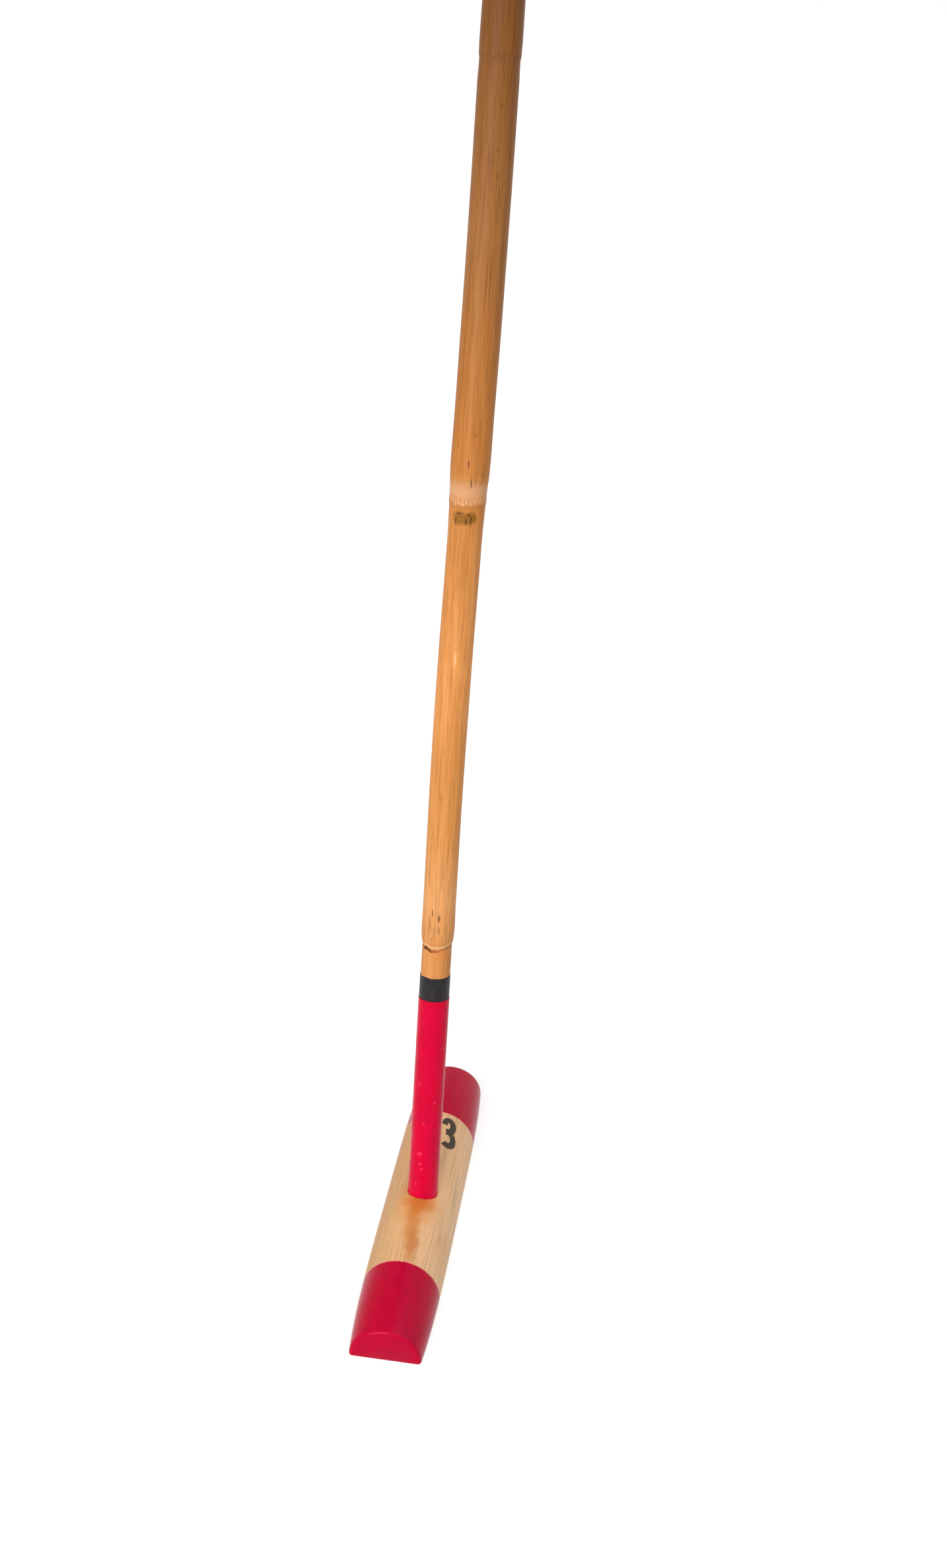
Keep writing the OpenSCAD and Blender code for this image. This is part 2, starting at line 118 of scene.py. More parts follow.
def addPiece(name, bm, *materials, body="mallet", slot=None, stands=(), sharp=35):
    for face in bm.faces:
        face.smooth = True
    for edge in bm.edges:
        if edge.is_manifold and edge.calc_face_angle(0) > radians(sharp):
            edge.smooth = False
    mesh = bpy.data.meshes.new(name)
    bm.to_mesh(mesh)
    bm.free()
    piece = bpy.data.objects.new(name, mesh)
    bpy.context.scene.collection.objects.link(piece)
    for material in materials:
        mesh.materials.append(material)
    if body:
        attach(piece, body)
    if stands:
        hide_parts(*stands)
    return piece


def cutAway(piece, bm):  # takes the shape in bm out of a piece
    cutter = addPiece("cutter", bm, body=None)
    cut = piece.modifiers.new("cut", "BOOLEAN")
    cut.operation = "DIFFERENCE"
    cut.solver = "EXACT"
    cut.object = cutter
    depsgraph = bpy.context.evaluated_depsgraph_get()
    mesh = bpy.data.meshes.new_from_object(piece.evaluated_get(depsgraph))
    piece.modifiers.clear()
    piece.data = mesh
    bpy.data.objects.remove(cutter)
    bm = bmesh.new()  # the cut can leave a doubled point or a face with no area
    bm.from_mesh(mesh)
    bmesh.ops.remove_doubles(bm, verts=bm.verts, dist=0.0005 * mm)
    bmesh.ops.dissolve_degenerate(bm, edges=bm.edges, dist=0.0005 * mm)
    bm.to_mesh(mesh)
    bm.free()


# Helpers for materials

def linear(hexText):  # an sRGB hex colour as linear RGBA
    values = [int(hexText[i:i + 2], 16) / 255 for i in (0, 2, 4)]
    return [v / 12.92 if v < 0.04045 else ((v + 0.055) / 1.055) ** 2.4 for v in values] + [1.0]


def addNode(tree, kind, inputs=None, out=0, **settings):  # adds a node and gives one of its outputs
    node = tree.nodes.new("ShaderNode" + kind)
    for key, value in settings.items():
        setattr(node, key, value)
    for key, value in (inputs or {}).items():
        if isinstance(value, bpy.types.NodeSocket):
            tree.links.new(value, node.inputs[key])
        else:
            node.inputs[key].default_value = value
    return node.outputs[out] if node.outputs else None


def startMaterial(name):
    material = bpy.data.materials.new(name)
    material.use_nodes = True
    material.node_tree.nodes.clear()
    return material, material.node_tree


def endMaterial(tree, relief=None, **shaderInputs):  # relief: a height, its strength, its depth in millimetres
    inputs = {key.replace("_", " "): value for key, value in shaderInputs.items()}
    if relief:
        height, strength, depth = relief
        inputs["Normal"] = addNode(tree, "Bump", {"Height": height, "Strength": strength, "Distance": depth * mm})
    addNode(tree, "OutputMaterial", {"Surface": addNode(tree, "BsdfPrincipled", inputs)})


def layColours(tree, vector, colour, layers):
    # Each layer paints its colour where a noise in cells of so many millimetres passes from low to high
    for count, (cell, low, high, paint, amount) in enumerate(layers):
        scaled = addNode(tree, "Mapping", {"Vector": vector, "Scale": [1 / (c * mm) for c in cell],
                                           "Location": (7.3 * count, 3.1 * count, 5.7 * count)})
        grain = addNode(tree, "TexNoise", {"Vector": scaled, "Scale": 1.0, "Detail": 3.0})
        share = addNode(tree, "MapRange", {"Value": grain, "From Min": low, "From Max": high, "To Max": amount},
                        interpolation_type="SMOOTHSTEP")
        colour = addNode(tree, "Mix", {0: share, 6: colour, 7: linear(paint)}, out=2, data_type="RGBA")
    return colour, grain


def layStains(tree, vector, colour, stains, ragged, soft=0.6):
    # Each stain paints its colour round a centre; ragged is a noise that breaks up its edge
    for centre, reach, paint, amount in stains:
        scaled = addNode(tree, "Mapping", {"Vector": vector, "Scale": [1 / r for r in reach],
                                           "Location": [-c / r for c, r in zip(centre, reach)]})
        away = addNode(tree, "VectorMath", {0: scaled}, out="Value", operation="LENGTH")
        torn = addNode(tree, "Math", {0: away, 1: ragged}, operation="ADD")
        share = addNode(tree, "MapRange", {"Value": torn, "From Min": 1.5 - soft, "From Max": 1.5 + soft,
                                           "To Min": amount, "To Max": 0.0}, interpolation_type="SMOOTHSTEP")
        colour = addNode(tree, "Mix", {0: share, 6: colour, 7: linear(paint)}, out=2, data_type="RGBA")
    return colour


# Camera, lamps and floor

studio = {
    "place": (0.10855, -0.72399, 0.66344), "turn": (62.88980, -2.21389, 8.09374), "lens": 36.44,
    # lamp: turn in degrees, power, size of the soft source in degrees
    "lamps": {"key": ((62, 0, -22), 2.6, 45), "top": ((0, 32, 0), 0.85, 60), "rim": ((75, 0, 141), 0.25, 60)},
    "sky": 0.3, "paper": "b8b8b8", "glow": 0.68,  # glow: what the camera and reflections see more of the paper
    "floor": 60.0, "below": 0.2,  # its radius in metres, and how far it lies under the sole
}


def seenRays(tree):  # 1 for what the camera sees, straight or in gloss and glass
    camera, glossy, glass = (addNode(tree, "LightPath", out=f"Is {ray} Ray")
                             for ray in ("Camera", "Glossy", "Transmission"))
    seen = addNode(tree, "Math", {0: camera, 1: glossy}, operation="MAXIMUM")
    return addNode(tree, "Math", {0: seen, 1: glass}, operation="MAXIMUM")


def makeStudio():
    scene = bpy.context.scene
    camera = bpy.data.objects.new("camera", bpy.data.cameras.new("camera"))
    camera.data.lens = studio["lens"]
    camera.data.sensor_width = 36
    camera.data.clip_start = 0.02
    camera.rotation_euler = [radians(a) for a in studio["turn"]]
    camera.location = studio["place"]
    scene.collection.objects.link(camera)
    scene.camera = camera
    for name, (turn, power, size) in studio["lamps"].items():
        lamp = bpy.data.lights.new(name, "SUN")
        lamp.energy = power
        lamp.angle = radians(size)
        lampObject = bpy.data.objects.new(name, lamp)
        lampObject.rotation_euler = [radians(a) for a in turn]
        scene.collection.objects.link(lampObject)
    scene.world = bpy.data.worlds.new("studio")
    scene.world.use_nodes = True
    tree = scene.world.node_tree
    tree.nodes.clear()
    level = addNode(tree, "MapRange", {"Value": seenRays(tree), "To Min": studio["sky"], "To Max": 1.0})
    sky = addNode(tree, "Background", {"Strength": level, "Color": (1, 1, 1, 1)})
    addNode(tree, "OutputWorld", {"Surface": sky})
    paper, tree = startMaterial("white studio paper")
    glow = addNode(tree, "Math", {0: seenRays(tree), 1: studio["glow"]}, operation="MULTIPLY")
    endMaterial(tree, Base_Color=linear(studio["paper"]), Roughness=0.9, Specular_IOR_Level=0.0,
                Emission_Color=(1, 1, 1, 1), Emission_Strength=glow)
    bm = bmesh.new()
    bmesh.ops.create_circle(bm, cap_ends=True, segments=64, radius=studio["floor"])
    bmesh.ops.translate(bm, vec=(0, 0, -studio["below"] * mm), verts=bm.verts)
    addPiece("floor", bm, paper, body=None)
    scene.view_settings.view_transform = "Standard"


makeStudio()
print("studio made")


# The cane's centre line, which carries everything above the head

caneShape = {
    "foot": (1.8, -13.8),  # where the centre line meets the sole
    "runs": ((0, 11.77, -0.36), (300, 11.77, 0.8), (540, 11.8, 0.1)),  # start, lean to +Y, tilt to +X
    "bendReach": 70,  # each bend is spread over this much of the cane on both sides
    "first": -12, "last": 1347, "length": 1344,
    # place and radius
    "outline": ((-12, 8.4), (177.6, 8.38), (179.6, 8.28), (180.6, 8.8), (184, 9.1), (189, 9.36), (202, 9.2),
                (240, 9.22), (300, 9.3), (385, 9.2), (409, 9.15), (422, 9.5), (426.4, 9.86), (428.6, 9.74),
                (441, 10.36), (448, 10.5), (472, 10.34), (606, 10.36), (630, 10.34), (635, 10.16),
                (638.6, 10.14), (641, 10.5), (648, 10.62), (670, 10.48), (840, 10.5), (848, 10.34),
                (851.2, 10.3), (852.6, 10.62), (861, 10.86), (884, 10.7), (1101, 10.7), (1109.5, 10.02),
                (1118, 9.35), (1126.5, 8.67), (1135, 8.0), (1344, 8.0)),
    "nodes": (180, 427, 640, 852), "step": 5, "nodeStep": 0.45, "nodeReach": 9, "sides": 88,
    "wander": 1.3, "scallop": 0.6, "dip": 0.95,  # how far a node's lip strays along the cane
    "strayFull": 5, "strayFade": 10,  # how near the node the stray is whole, and over how much it fades
    "skin": (166, 1095), "waver": (0.10, 0.035),  # where the bare skin shows, and its slow and quick waver
    "shave": (1101, 1135, 4),  # start and end of the taper under the handle, and its step
    "wedge": (15, 2.8, 0.7, 0.04),  # length, thickness at the sole and at the point, clearance
    "nail": ((-21.6, -7.54, 7), 31, 1.15),
}


def caneTurn(s):  # turns +Z to the cane's direction at a place
    runs = caneShape["runs"]
    lean, tilt = runs[0][1:]
    for last, run in zip(runs, runs[1:]):
        share = ease((s - run[0]) / (2 * caneShape["bendReach"]) + 0.5)
        lean += (run[1] - last[1]) * share
        tilt += (run[2] - last[2]) * share
    return Euler((-radians(lean), radians(tilt), 0)).to_matrix()


def layCane():  # the centre line, a point for every millimetre
    point = Vector((*caneShape["foot"], 0)) + caneTurn(0) @ Vector((0, 0, caneShape["first"]))
    line = []
    for s in range(caneShape["first"], caneShape["last"]):
        line.append(point.copy())
        point += caneTurn(s + 0.5) @ Vector((0, 0, 1))
    return line


caneLine = layCane()


def caneAt(s):
    i = int(s - caneShape["first"])
    return caneLine[i].lerp(caneLine[i + 1], s - caneShape["first"] - i)


def onCane(angle, s, radius):  # half a turn faces the camera
    a = angle + pi / 2
    return caneAt(s) + caneTurn(s) @ Vector((radius * cos(a), radius * sin(a), 0))


# Head: a half-moon section on a flat sole, drawn in and down towards its ends

headShape = {
    "length": 235, "halfWidth": 22.4, "height": 25.4,
    "drawIn": 2.8, "drop": 5.4, "power": 4.2,
    "endRound": 1.8, "soleEase": 0.8, "arc": 96, "corner": 4, "sole": 22, "step": 1.6,
    "nearPaint": (-69.2, -0.0105), "farPaint": (63.0, 0.0208),  # where the enamel ends, and its slant across
    "firstCoat": 0.7,  # width of the thin first coat past the enamel's edge
    "eye": 8.45, "eyeAbove": 8.89, "sleeveFrom": 20.45,
}


def headTaper(y):
    share = abs(2 * y / headShape["length"]) ** headShape["power"]
    return headShape["halfWidth"] - headShape["drawIn"] * share, headShape["height"] - headShape["drop"] * share


def crownHeight(x, y):
    width, height = headTaper(y)
    low = headShape["soleEase"]
    return low + (height - low) * sqrt(max(0.0, 1 - (x / width) ** 2))


def headPoint(turn, y, inset):
    width, height = headTaper(y)
    width, height, low = width - inset, height - inset, inset * 0.4
    arc, side, sole, corner = (headShape[key] for key in ("arc", "corner", "sole", "soleEase"))
    i = round(turn * (arc + 2 * side + sole)) % (arc + 2 * side + sole)
    if i <= arc:
        a = pi * i / arc
        return width * cos(a), y, low + corner + (height - low - corner) * sin(a)
    if i <= arc + side:
        a = pi / 2 * (i - arc) / side
        return -width + corner * (1 - cos(a)), y, low + corner * (1 - sin(a))
    if i <= arc + side + sole:
        return (width - corner) * (2 * (i - arc - side) / sole - 1), y, low
    a = pi / 2 * (i - arc - side - sole) / side
    return width - corner * (1 - sin(a)), y, low + corner * (1 - cos(a))


def makeHead(woods):
    shape = headShape
    flat = shape["length"] / 2 - shape["endRound"]
    rounding = [(flat + shape["endRound"] * sin(radians(a)), shape["endRound"] * (1 - cos(radians(a))))
                for a in range(15, 91, 15)]
    rows = [(-y, inset) for y, inset in reversed(rounding)]
    rows += [(y, 0.0) for y in steps(-flat, flat, shape["step"])] + rounding
    bm = wrapGrid(shape["arc"] + 2 * shape["corner"] + shape["sole"], list(range(len(rows))),
                  lambda turn, k: headPoint(turn, *rows[k]))
    for (y, slant), side in ((shape["nearPaint"], 1), (shape["farPaint"], -1)):
        for away in (0, side * shape["firstCoat"]):
            bmesh.ops.bisect_plane(bm, geom=bm.verts[:] + bm.edges[:] + bm.faces[:], dist=0.01 * mm,
                                   plane_co=(0, (y + away) * mm, 0), plane_no=Vector((-slant, 1, 0)).normalized())
    for face in bm.faces:
        x, y = (face.calc_center_median() / mm).xy
        past = max(shape["nearPaint"][0] + shape["nearPaint"][1] * x - y,
                   y - shape["farPaint"][0] - shape["farPaint"][1] * x)
        face.material_index = 1 if past > 0 else 2 if past > -shape["firstCoat"] else 0
    head = addPiece("head_turned", bm, *woods, slot="head_wood", stands=["head"])
    bore = ((-12, shape["eye"]), (shape["sleeveFrom"], shape["eye"]),
            (shape["sleeveFrom"] + 0.01, shape["eyeAbove"]), (60, shape["eyeAbove"]))
    cutAway(head, wrapGrid(96, [0, 1, 2, 3], lambda turn, k: onCane(turn * 2 * pi, *bore[k])))
    cutAway(head, nailHole(2.05, -30, 1.05))
    cutAway(head, nailHole(caneShape["nail"][2], 0, caneShape["nail"][1] + 0.05))


def nailHole(radius, start, end):  # along the nail, which lies across the head
    bm = bmesh.new()
    x, y, z = caneShape["nail"][0]
    bmesh.ops.create_cone(bm, cap_ends=True, segments=48, radius1=radius * mm, radius2=radius * mm,
                          depth=(end - start) * mm)
    bmesh.ops.rotate(bm, matrix=Matrix.Rotation(pi / 2, 3, "Y"), verts=bm.verts)
    bmesh.ops.translate(bm, vec=Vector((x + (start + end) / 2, y, z)) * mm, verts=bm.verts)
    return bm


# Figures on the crown: the length in inches, stamped in ink

figures = {
    "centre": (8.6, 45.5), "turn": 7.2, "pitch": -11.8, "size": (9, 27.6), "pen": (1.75, 2.4), "ink": 0.04,
    # strokes as points of their middle line, in millimetres from the lower left corner
    "five": (((6.9, 25.0), (4.6, 25.0), (2.2, 25.0)), ((2.1, 25.6), (2.1, 20.4), (2.0, 15.2)),
             ((2.1, 14.6), (3.0, 15.8), (4.7, 16.2), (6.4, 14.2), (7.0, 9.4), (6.3, 4.6), (4.4, 2.65),
              (2.6, 3.6), (1.9, 6.0))),
    "three": (((1.8, 20.6), (2.5, 23.6), (4.4, 25.0), (6.5, 23.6), (7.2, 20.2), (6.5, 16.8), (4.9, 15.0),
               (2.9, 14.5)),
              ((2.9, 14.2), (5.0, 13.7), (6.6, 11.6), (7.2, 8.0), (6.4, 4.1), (4.4, 2.4), (2.6, 2.9),
               (1.3, 4.2))),
}


def smoothLine(points, perSpan=8):  # a curve through all the points
    points = [Vector(p) for p in points]
    points = [2 * points[0] - points[1]] + points + [2 * points[-1] - points[-2]]
    line = []
    for a, b, c, d in zip(points, points[1:], points[2:], points[3:]):
        for i in range(perSpan):
            t = i / perSpan
            line.append(0.5 * (2 * b + (c - a) * t + (2 * a - 5 * b + 4 * c - d) * t * t
                               + (3 * b - a - 3 * c + d) * t ** 3))
    return line + [points[-2]]


def makeFigures(ink):
    turn = Matrix.Rotation(radians(figures["turn"]), 2)
    whole = bmesh.new()
    for count, digit in enumerate(("three", "five")):
        for lift, stroke in enumerate(figures[digit]):
            line = smoothLine(stroke)

            def place(share, k):
                ahead = line[min(k + 1, len(line) - 1)] - line[max(k - 1, 0)]
                side = Vector((-ahead.y, ahead.x)).normalized()
                i = round(share * 16) % 16
                across = (4 - i) / 4 if i <= 8 else (i - 12) / 4
                spot = line[k] + Vector((side.x * figures["pen"][0], side.y * figures["pen"][1])) * across
                spot = spot - Vector(figures["size"]) / 2 + Vector((count * figures["pitch"], 0))
                x, y = turn @ spot + Vector(figures["centre"])
                return x, y, crownHeight(x, y) + (figures["ink"] + 0.01 * lift if i <= 8 else -0.1)
            stroke = wrapGrid(16, list(range(len(line))), place)
            mesh = bpy.data.meshes.new("stroke")
            stroke.to_mesh(mesh)
            stroke.free()
            whole.from_mesh(mesh)
    addPiece("head_figures", whole, ink, slot="head_wood")


# Sleeve on the foot of the cane, let into the head, and the tape band that finishes it

sleeveShape = {
    "start": 20.45, "end": 147.45, "inner": 8.43, "outer": 8.84, "waver": 0.06,
    # dents: place, angle in degrees, reach, depth
    "dents": ((71.6, 176, 1.6, 0.2), (52.3, 166, 2.6, 0.24), (46, 169, 2.0, 0.2), (42.8, 178, 1.6, 0.2),
              (32.6, 156, 1.6, 0.2), (96, 150, 2.8, 0.12), (61, 120, 2.4, 0.14), (85, 215, 2.4, 0.14),
              (118, 240, 2.6, 0.12), (56, 20, 2.4, 0.16), (104, 330, 2.6, 0.14), (40, 300, 2.4, 0.18)),
}
bandShape = {
    "start": 147.5, "end": 161.5, "inner": 8.43, "outer": 8.65, "wave": 0.45,
    "wall": 0.11, "lap": 0.3, "level": 0.3,  # the tape's step, the turn it is at, and the level turn past it
}


def makeSleeve(vinyl):
    shape = sleeveShape

    def point(angle, s, radius):
        if radius > shape["inner"]:
            radius += shape["waver"] * noise.noise(Vector((cos(angle) * 2, sin(angle) * 2, s / 9)))
            for place, side, reach, depth in shape["dents"]:
                across = ((angle - radians(side) + pi) % (2 * pi) - pi) * shape["outer"]
                radius -= depth * exp(-((s - place) ** 2 + across ** 2) / reach ** 2)
        return onCane(angle, s, radius)
    outside = [(shape["start"], shape["outer"] - 0.1)]
    outside += [(s, shape["outer"]) for s in steps(shape["start"] + 0.15, shape["end"] - 0.1, 0.8)]
    outside += [(shape["end"], shape["outer"] - 0.08)]
    bm = wrapShell(96, outside, [(shape["start"], shape["inner"]), (shape["end"], shape["inner"])], point)
    addPiece("sleeve_shrunk", bm, vinyl, slot="sleeve", stands=["foot_sleeve"])


def makeBand(tape):
    shape = bandShape

    def point(angle, s, radius):
        if s > shape["start"] + 0.1:  # the lower edge is straight against the sleeve
            s += shape["wave"] * noise.noise(Vector((cos(angle) * 1.5, sin(angle) * 1.5, 3))) * ease((s - 150) / 9)
        if radius > shape["inner"]:  # the tape ends in a step, and the layer under it rises again round the back
            past = angle / (2 * pi) - shape["lap"]
            rise = ease((past - shape["level"]) / (1 - shape["lap"] - shape["level"]))
            radius -= shape["wall"] * (ease(past / 0.012) - rise)
        return onCane(angle, s, radius)
    outside = [(shape["start"], shape["outer"] - 0.04)]
    outside += [(s, shape["outer"]) for s in steps(shape["start"] + 0.12, shape["end"] - 0.12, 0.9)]
    outside += [(shape["end"], shape["outer"] - 0.04)]
    bm = wrapShell(160, outside, [(shape["start"], shape["inner"]), (shape["end"], shape["inner"])], point)
    addPiece("band_taped", bm, tape, slot="band", stands=["foot_band"])


# Cane: one skin with its nodes, a kerf for the wedge and a shaved end for the handle

def canePoint(turn, s):
    angle = turn * 2 * pi
    near = min(abs(s - node) for node in caneShape["nodes"])
    stray = caneShape["wander"] * noise.noise(Vector((cos(angle) * 1.6, sin(angle) * 1.6, s // 100)))
    stray += caneShape["scallop"] * noise.noise(Vector((cos(angle) * 6, sin(angle) * 6, s // 100 + 9)))
    stray += caneShape["dip"] * cos(2 * angle)
    radius = between(caneShape["outline"], s)
    if caneShape["skin"][0] < s < caneShape["skin"][1]:
        radius += caneShape["waver"][0] * noise.noise(Vector((cos(angle) * 1.2, sin(angle) * 1.2, s / 60)))
        radius += caneShape["waver"][1] * noise.noise(Vector((cos(angle) * 7, sin(angle) * 7, s / 120)))
    stray *= 1 - ease((near - caneShape["strayFull"]) / caneShape["strayFade"])
    return onCane(angle, s - stray, radius)


def makeCane(rattan, endGrain):
    places = steps(caneShape["first"], caneShape["shave"][0], caneShape["step"])
    places += steps(*caneShape["shave"]) + [caneShape["length"]]
    for node in caneShape["nodes"]:
        places += steps(node - caneShape["nodeReach"], node + caneShape["nodeReach"], caneShape["nodeStep"])
    places.sort()
    stations = [s for s, last in zip(places, [-99] + places) if s - last > 0.2]
    bm = wrapGrid(caneShape["sides"], stations, lambda turn, k: canePoint(turn, stations[k]))
    sliceOff(bm, (0, 0, 0), (0, 0, -1))
    for face in bm.faces:
        face.material_index = 1 if len(face.verts) > 4 else 0
    cane = addPiece("cane_rattan", bm, rattan, endGrain, slot="cane", stands=["cane"])
    length, sole, point, fit = caneShape["wedge"]
    turned = Matrix.Translation(caneAt(0)) @ caneTurn(0).to_4x4()
    kerf = blockAt((-12, -1, -8), (12, 1, length + fit))
    for vert in kerf.verts:  # tapers the block to the wedge's sides
        x, y, z = vert.co / mm
        half = fit + sole / 2 + (point - sole) / 2 * z / length
        vert.co = (turned @ Vector((x, copysign(half, y), z))) * mm
    cutAway(cane, kerf)
    cutAway(cane, nailHole(caneShape["nail"][2], 0, caneShape["nail"][1] + 0.05))


# Handle: two halves glued round the shaved cane, with a rebate for the sling

handleShape = {
    "start": 1101, "length": 245, "lower": 11.25, "halfWidth": 16.5, "halfThick": 13.8, "squareness": 0.8,
    "taper": 62, "flareFrom": 207, "rimFrom": 239, "flareWidth": 6.5, "flareThick": 3, "rim": 6,
    "bore": ((-1, 10.83), (0, 10.75), (34, 8.05), (250, 8.05)), "glue": 0.05,
    "rebate": ((-8.2, 9.45, 134.9), (8.2, 40, 197.9)), "slot": ((-8.2, 9.45, 194.2), (8.2, 40, 197.8)),
}
inHandle = Matrix.Translation(caneAt(handleShape["start"])) @ caneTurn(handleShape["start"]).to_4x4()


def skinPoint(angle, z, out):  # a point on the handle's skin, so far off the wood
    shape = handleShape
    oval = ease(z / shape["taper"])
    flare = ease((z - shape["flareFrom"]) / (shape["rimFrom"] - shape["flareFrom"]))
    width = shape["lower"] + (shape["halfWidth"] - shape["lower"]) * oval + shape["flareWidth"] * flare + out
    thick = shape["lower"] + (shape["halfThick"] - shape["lower"]) * oval + shape["flareThick"] * flare + out
    power = 2 / (2 + shape["squareness"] * oval)
    x, y = cos(angle + pi / 2), sin(angle + pi / 2)
    return inHandle @ Vector((width * copysign(abs(x) ** power, x), thick * copysign(abs(y) ** power, y), z))


def makeHandle(wood):
    shape = handleShape
    rows = [(z, 0.0) for z in steps(0, shape["rimFrom"], 4)]
    for a in range(10, 91, 10):
        rows.append((shape["rimFrom"] + shape["rim"] * sin(radians(a)), -shape["rim"] * (1 - cos(radians(a)))))
    bm = wrapGrid(112, list(range(len(rows))), lambda turn, k: skinPoint(turn * 2 * pi, *rows[k]))
    whole = addPiece("handle_whole", bm, wood, body=None)
    bore = shape["bore"]

    def borePoint(turn, k):
        z, radius = bore[k]
        return inHandle @ Vector((radius * cos(turn * 2 * pi), radius * sin(turn * 2 * pi), z))
    cutAway(whole, wrapGrid(72, list(range(len(bore))), borePoint))
    across = inHandle.to_3x3() @ Vector((0, 1, 0))
    for name, side in (("front", -1), ("back", 1)):
        half = bmesh.new()
        half.from_mesh(whole.data)
        sliceOff(half, inHandle @ Vector((0, side * shape["glue"], 0)), -side * across)
        piece = addPiece("handle_" + name + "_carved", half, wood, slot="handle_wood", stands=["handle_" + name])
        if side > 0:
            cutAway(piece, blockAt(*shape["rebate"], inHandle))
    bpy.data.objects.remove(whole)


# Cushion, grip tape and finishing tape

gripShape = {
    "from": 8, "to": 239, "tape": 23, "pitch": 23.6, "inner": 1.40, "outer": 3.10, "crown": 0.22, "roll": 0.55,
    "steps": 72, "cushion": (3, 239, 0.15, 1.05),
}
collarShape = {
    # place up the handle and distance off the wood
    "outside": ((-10, 0.1), (-5.5, 0.75), (0, 2.2), (4, 3.25), (7.4, 3.74), (24, 3.74)),
    "inside": ((-10, -0.35), (-1, -0.35), (-0.15, 0.15), (2, 0.15), (2.85, 1.2), (7, 1.2), (7.85, 3.25),
               (24, 3.25)),
    "turn": 9.5, "wall": 0.12,
}


def makeCushion(foam):
    low, high, inner, outer = gripShape["cushion"]
    places = steps(low, high, 4)
    bm = wrapShell(96, [(z, outer) for z in places], [(z, inner) for z in places], skinPoint)
    piece = addPiece("cushion_wound", bm, foam, slot="cushion", stands=["cushion_tape"])
    cutAway(piece, blockAt(*handleShape["slot"], inHandle))


def makeGrip(rubber):
    shape = gripShape
    half = shape["tape"] / 2
    section = [(half * i / 3, shape["inner"]) for i in range(-3, 4)]
    for i in range(33):
        e = half * (1 - i / 16)
        edge = shape["roll"] * (abs(e) / half) ** 9  # rolled edges
        section.append((e, shape["outer"] - shape["crown"] * (e / half) ** 2 - edge))
    count = ceil(((shape["to"] - shape["from"]) / shape["pitch"] + 1.5) * shape["steps"])

    def onTape(k, e, out):
        z = shape["from"] - half + shape["pitch"] * (k / shape["steps"] - 0.25) + e
        return skinPoint(-2 * pi * k / shape["steps"], z, out)
    along = lengthsAlong([onTape(k, 0, shape["outer"]) for k in range(count + 1)])
    sides = len(section)
    bm = wrapGrid(sides, along, lambda turn, k: onTape(k, *section[round(turn * sides) % sides]))
    up = inHandle.to_3x3() @ Vector((0, 0, 1))
    sliceOff(bm, inHandle @ Vector((0, 0, shape["from"])), -up)
    sliceOff(bm, inHandle @ Vector((0, 0, shape["to"])), up)
    piece = addPiece("grip_wound", bm, rubber, slot="grip", stands=["grip_tape"])
    cutAway(piece, blockAt(*handleShape["slot"], inHandle))


def makeCollar(tape):
    shape = collarShape
    outside = [(z, between(shape["outside"], z)) for z in steps(-10, 24, 0.7)]
    outside[-1] = (24, 3.6)

    def point(angle, z, out):
        if out > 0.3 and z > -9.9 and (z, out) not in shape["inside"]:  # each turn laps over the last
            out -= shape["wall"] * (1 - ease((((z + 10) / shape["turn"] + angle / (2 * pi)) % 1) / 0.05))
        return skinPoint(angle, z, out)
    bm = wrapShell(120, outside, list(shape["inside"]), point)
    addPiece("collar_wound", bm, tape, slot="collar", stands=["grip_collar"])


# Wrist sling: one strap of webbing, both its ends let into the handle

slingShape = {
    "halfWidth": 8, "halfThick": 0.8, "gap": 0.05, "rootLow": 135.4, "rootMiddle": 11.25, "rootBend": 2.85,
    "rootCentre": (14.1, 193.15), "rootEnd": 193, "foldOut": 0.36,
    "at": 196, "fold": 19.3, "foldBend": 1.9, "neck": 27.6, "bend": 23.8, "bendLow": 190.4, "ease": 8,
    "bendFrom": 1.9, "bendTo": 1.2, "bendTurn": 15,  # the zone that gives as the loop swings, round the fold
    "stitchBox": (5.6, -10, -25), "stitch": 3.1, "stitchSize": (1.25, 0.3, 0.34),
}
slingFold = inHandle @ Vector((0, slingShape["fold"], slingShape["at"]))


